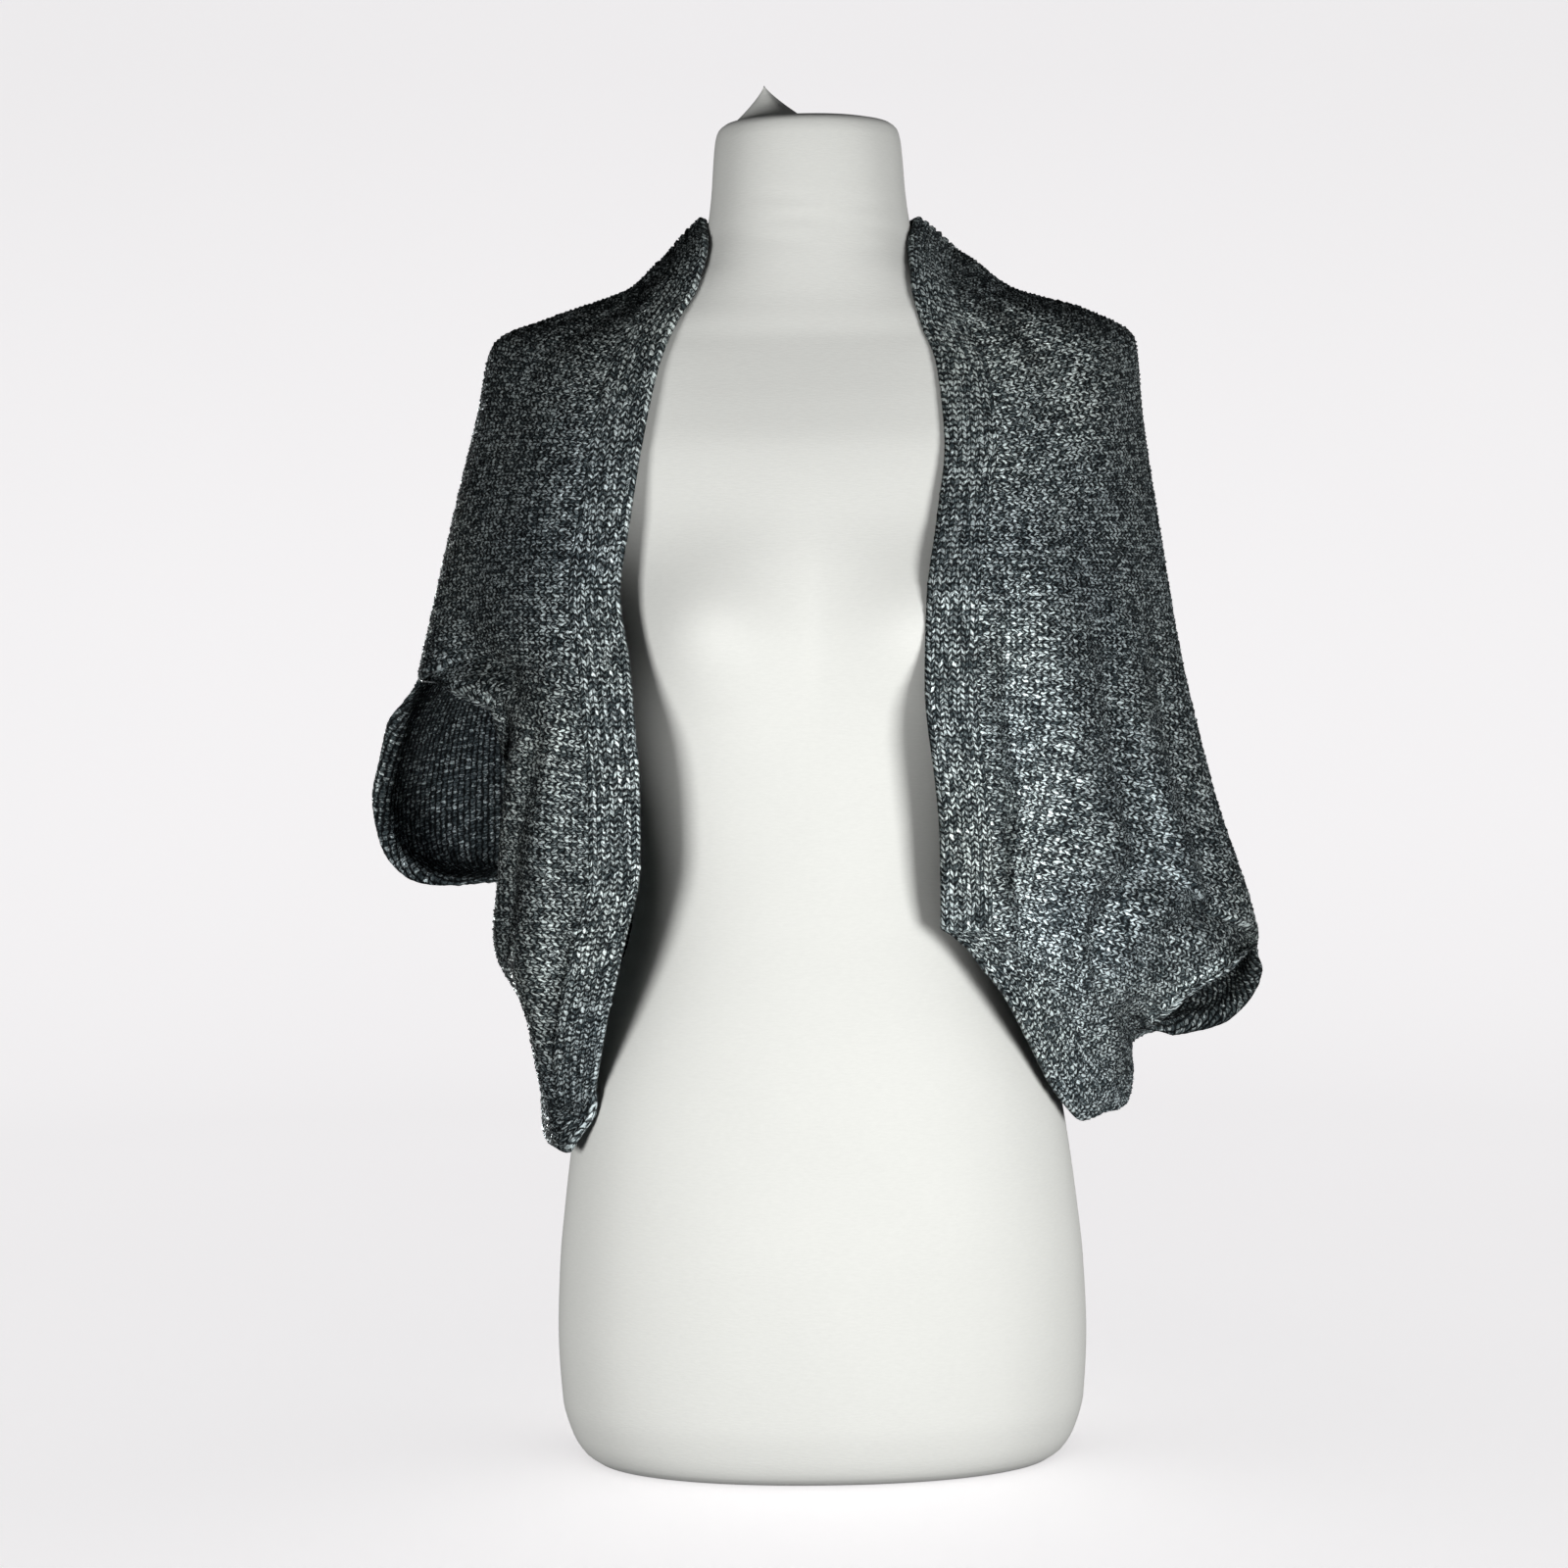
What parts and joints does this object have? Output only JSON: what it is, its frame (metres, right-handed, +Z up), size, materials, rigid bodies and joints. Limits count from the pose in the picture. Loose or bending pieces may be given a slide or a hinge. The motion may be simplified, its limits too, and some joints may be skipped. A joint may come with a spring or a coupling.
{
  "type": "open-front shrug cardigan on a limbless dress form",
  "caption": "Short open-front knitted shrug cardigan with batwing sleeves and a ribbed band round its opening and hem, worn by a limbless dress form that stands on its flat base.",
  "frame": {"origin": "middle of the dress form's flat base, on the surface it stands on", "axes": "+Z up the form, -Y out of its front, +X to the wearer's left"},
  "size_m": [0.5145, 0.2385, 0.797],
  "materials": {
    "form_jersey": "smooth cream jersey",
    "panel_yarn": "charcoal yarn with silver flecks, knitted sideways",
    "band_yarn": "charcoal yarn with silver flecks, knitted along the band"
  },
  "bodies": {
    "root": {"dress_form": "form_jersey", "cover_peak": "form_jersey", "back": "panel_yarn", "right_front": "panel_yarn", "left_front": "panel_yarn", "neck_and_front_band": "band_yarn", "hem_band": "band_yarn"}
  },
  "joints": []
}
